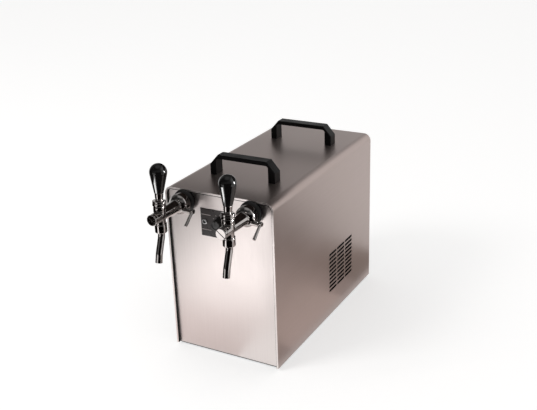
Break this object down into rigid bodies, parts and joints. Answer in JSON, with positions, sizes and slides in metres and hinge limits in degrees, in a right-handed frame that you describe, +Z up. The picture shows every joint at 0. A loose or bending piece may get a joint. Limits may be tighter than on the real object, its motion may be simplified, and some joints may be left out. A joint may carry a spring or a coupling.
{
  "type": "draught beer cooler",
  "caption": "Counter-top dry beer cooler: folded steel case with vents, bow handles and a control plate, and chromed lever taps with flow levers and bent spouts.",
  "frame": {"origin": "centre of the bounding box's base, on the plane that the feet stand on", "axes": "+X to the right as seen from the front, +Y from the taps to the back, +Z up"},
  "size_m": [0.23, 0.568, 0.4148],
  "materials": {
    "case_steel": "brushed stainless sheet",
    "front_steel": "finely brushed bright stainless sheet",
    "rear_steel": "brushed stainless sheet",
    "tray_steel": "zinc coated sheet",
    "feet_rubber": "matt moulded rubber",
    "bow_plastic": "satin moulded nylon",
    "screw_steel": "turned steel",
    "plate_print": "printed satin film",
    "knob_plastic": "semi-gloss moulding",
    "thermostat_plastic": "moulded housing",
    "lamp_chrome": "polished",
    "lamp_lens": "dark tinted lens, unlit",
    "rosette_plastic": "satin moulding",
    "shank_brass": "turned brass",
    "tap_chrome": "polished chrome plate",
    "handle_plastic": "high gloss moulding",
    "valve_plastic": "turned acetal",
    "valve_steel": "ground stainless",
    "block_aluminium": "cast block",
    "jacket_foam": "moulded foam",
    "line_steel": "stainless tube",
    "inlet_plastic": "moulded acetal",
    "socket_plastic": "moulded",
    "pin_nickel": "nickel plated",
    "rocker_plastic": "moulded",
    "compressor_paint": "semi-gloss enamel",
    "coil_aluminium": "pressed fins, coated black",
    "shroud_steel": "zinc coated sheet",
    "fan_plastic": "moulded",
    "motor_paint": "enamel",
    "copper_pipe": "drawn copper, bright"
  },
  "bodies": {
    "case": {"cover": "case_steel", "front_panel": "front_steel", "rear_panel": "rear_steel", "base_tray": "tray_steel", "rubber_feet": "feet_rubber", "front_bow_handle": "bow_plastic", "rear_bow_handle": "bow_plastic", "bow_handle_screws": "screw_steel", "control_plate": "plate_print", "thermostat": "thermostat_plastic", "pilot_lamp_bezel": "lamp_chrome", "pilot_lamp_lens": "lamp_lens", "tap_rosettes": "rosette_plastic", "tap_shanks": "shank_brass", "tap_back_nuts": "shank_brass", "tap_bonnets": "tap_chrome", "front_plugs": "tap_chrome", "spout_nuts": "tap_chrome", "cooling_block": "block_aluminium", "insulation_jacket": "jacket_foam", "outlet_beer_lines": "line_steel", "inlet_beer_lines": "line_steel", "beer_inlets": "inlet_plastic", "beer_inlet_nuts": "inlet_plastic", "mains_inlet": "socket_plastic", "mains_pins": "pin_nickel", "power_switch": "socket_plastic", "compressor": "compressor_paint", "compressor_grommets": "feet_rubber", "relay_box": "socket_plastic", "condenser": "coil_aluminium", "fan_shroud": "shroud_steel", "fan_motor": "motor_paint", "fan_bracket": "shroud_steel", "filter_drier": "copper_pipe", "liquid_pipes": "copper_pipe", "discharge_pipe": "copper_pipe", "suction_pipe": "copper_pipe", "rear_screws": "screw_steel", "flow_housing_left": "tap_chrome", "tap_body_left": "tap_chrome", "spout_left": "tap_chrome", "flow_housing_right": "tap_chrome", "tap_body_right": "tap_chrome", "spout_right": "tap_chrome"},
    "tap_lever_left": {"lever_stem_left": "tap_chrome", "handle_ferrule_left": "tap_chrome", "tap_handle_left": "handle_plastic"},
    "tap_lever_right": {"lever_stem_right": "tap_chrome", "handle_ferrule_right": "tap_chrome", "tap_handle_right": "handle_plastic"},
    "shuttle_left": {"valve_shuttle_left": "valve_steel"},
    "shuttle_right": {"valve_shuttle_right": "valve_steel"},
    "flow_arm_left": {"flow_lever_left": "tap_chrome"},
    "flow_arm_right": {"flow_lever_right": "tap_chrome"},
    "cone_left": {"flow_cone_left": "valve_plastic"},
    "cone_right": {"flow_cone_right": "valve_plastic"},
    "knob": {"thermostat_knob": "knob_plastic"},
    "rocker": {"switch_rocker": "rocker_plastic"},
    "fan": {"fan_rotor": "fan_plastic"}
  },
  "joints": [
    {"name": "tap_lever_left", "type": "hinge", "parent": "case", "child": "tap_lever_left", "pos_m": [-0.071, -0.2585, 0.333], "axis": [1, 0, 0], "range_deg": [-12, 25]},
    {"name": "valve_shuttle_left", "type": "slide", "parent": "case", "child": "shuttle_left", "axis": [0, 1, 0], "range_m": [-0.0032, 0.0066]},
    {"name": "flow_lever_left", "type": "hinge", "parent": "case", "child": "flow_arm_left", "pos_m": [-0.071, -0.202, 0.31], "axis": [1, 0, 0], "range_deg": [-39, 51]},
    {"name": "flow_cone_left", "type": "slide", "parent": "case", "child": "cone_left", "axis": [0, 1, 0], "range_m": [-0.0025, 0.0019]},
    {"name": "tap_lever_right", "type": "hinge", "parent": "case", "child": "tap_lever_right", "pos_m": [0.071, -0.2585, 0.333], "axis": [1, 0, 0], "range_deg": [-12, 25]},
    {"name": "valve_shuttle_right", "type": "slide", "parent": "case", "child": "shuttle_right", "axis": [0, 1, 0], "range_m": [-0.0032, 0.0066]},
    {"name": "flow_lever_right", "type": "hinge", "parent": "case", "child": "flow_arm_right", "pos_m": [0.071, -0.202, 0.31], "axis": [1, 0, 0], "range_deg": [-39, 51]},
    {"name": "flow_cone_right", "type": "slide", "parent": "case", "child": "cone_right", "axis": [0, 1, 0], "range_m": [-0.0025, 0.0019]},
    {"name": "thermostat_knob", "type": "hinge", "parent": "case", "child": "knob", "pos_m": [0, -0.173, 0.284], "axis": [0, 1, 0], "range_deg": [0, 270]},
    {"name": "power_rocker", "type": "hinge", "parent": "case", "child": "rocker", "pos_m": [-0.036, 0.256, 0.23], "axis": [1, 0, 0], "range_deg": [0, 22]},
    {"name": "fan_spin", "type": "hinge", "parent": "case", "child": "fan", "pos_m": [0.064, 0.10715, 0.0765], "axis": [1, 0, 0], "continuous": true}
  ],
  "couplings": [
    {"joint": "valve_shuttle_left", "follows": "tap_lever_left", "m_per_rad": 0.01474},
    {"joint": "flow_cone_left", "follows": "flow_lever_left", "m_per_rad": -0.002701},
    {"joint": "valve_shuttle_right", "follows": "tap_lever_right", "m_per_rad": 0.01474},
    {"joint": "flow_cone_right", "follows": "flow_lever_right", "m_per_rad": -0.002701}
  ]
}
